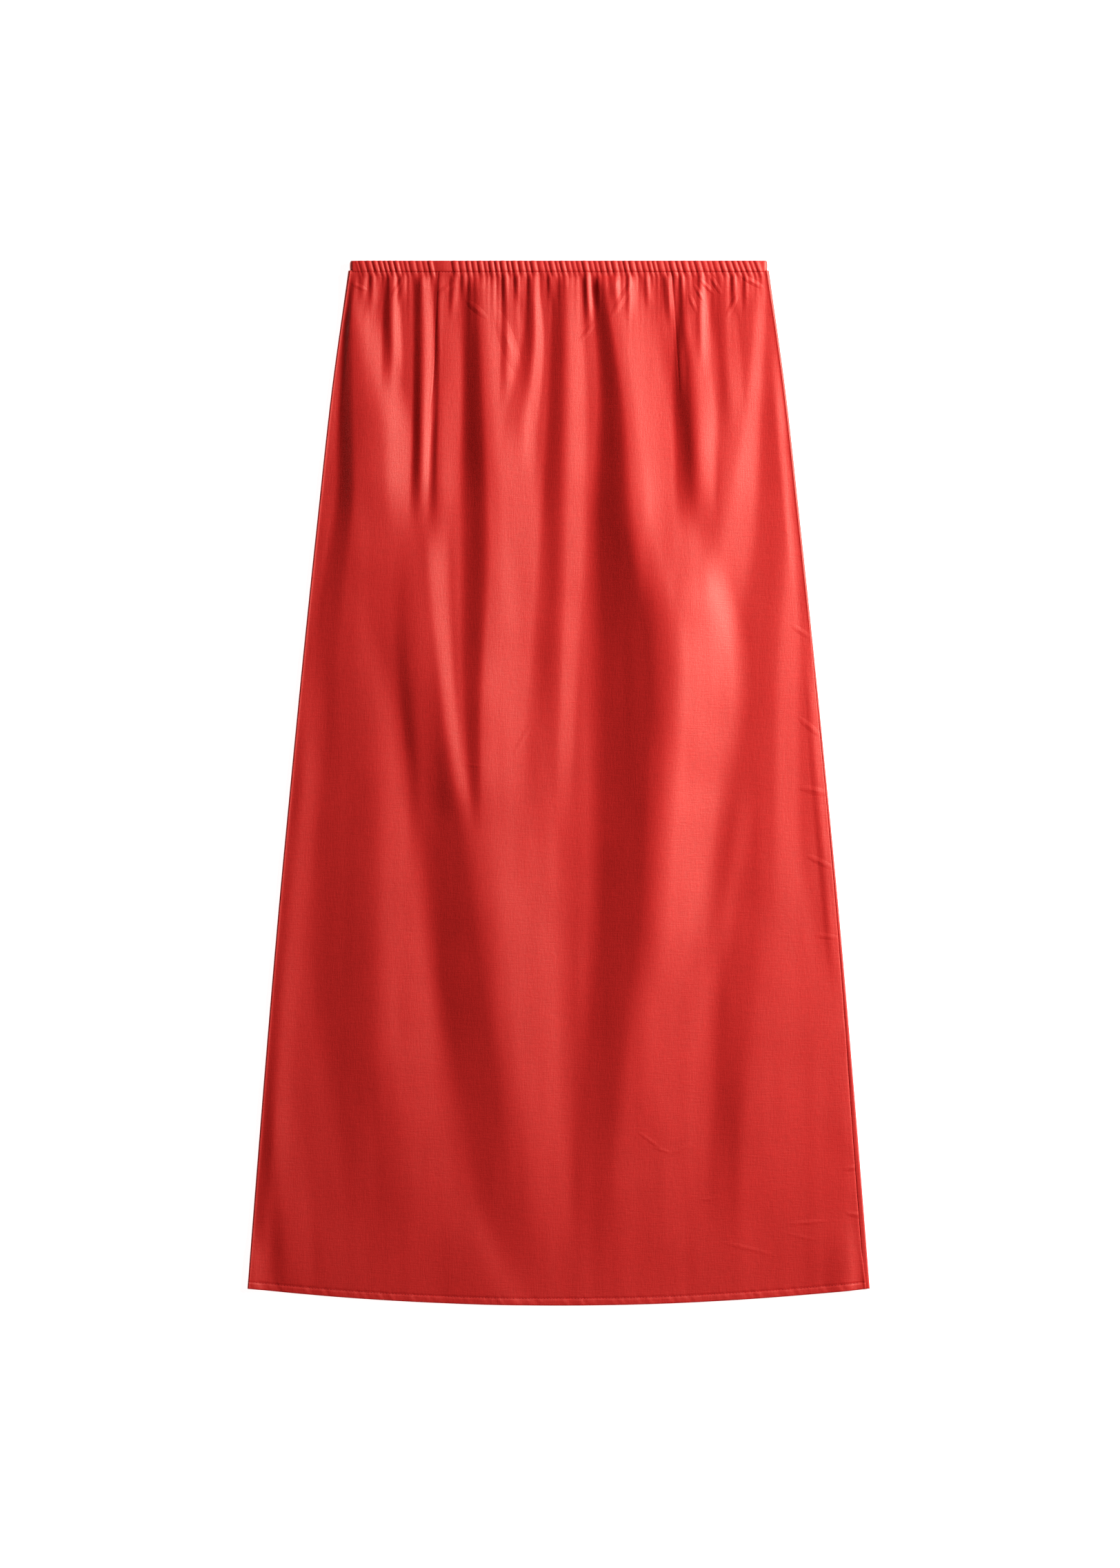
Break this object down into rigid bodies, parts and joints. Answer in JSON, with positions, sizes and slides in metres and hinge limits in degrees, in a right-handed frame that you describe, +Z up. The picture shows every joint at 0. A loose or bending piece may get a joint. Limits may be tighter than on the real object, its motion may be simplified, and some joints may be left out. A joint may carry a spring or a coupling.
{
  "type": "midi skirt",
  "caption": "Long A-line cotton skirt laid flat, with a narrow gathered elastic waist casing, soft lengthwise folds, side seams and a narrow turned hem.",
  "frame": {"origin": "centre of the laid skirt's length and width, on the surface it lies on", "axes": "+Y along the length from hem to waist, +X across to the viewer's right in the picture, +Z up from the surface"},
  "size_m": [0.5236, 0.88, 0.0222],
  "materials": {
    "front_cotton": "plain-woven coral red cotton poplin, soft matt with a faint sheen",
    "back_cotton": "the same coral red cotton poplin",
    "casing_cotton": "the same cotton, turned double and gathered on elastic",
    "hem_cotton": "the same cotton, turned and topstitched in matching thread",
    "elastic": "off-white woven elastic, hidden in the casing"
  },
  "bodies": {
    "root": {"front_panel": "front_cotton", "back_panel": "back_cotton", "front_casing": "casing_cotton", "back_casing": "casing_cotton", "waist_elastic": "elastic", "front_hem": "hem_cotton", "back_hem": "hem_cotton"}
  },
  "joints": []
}
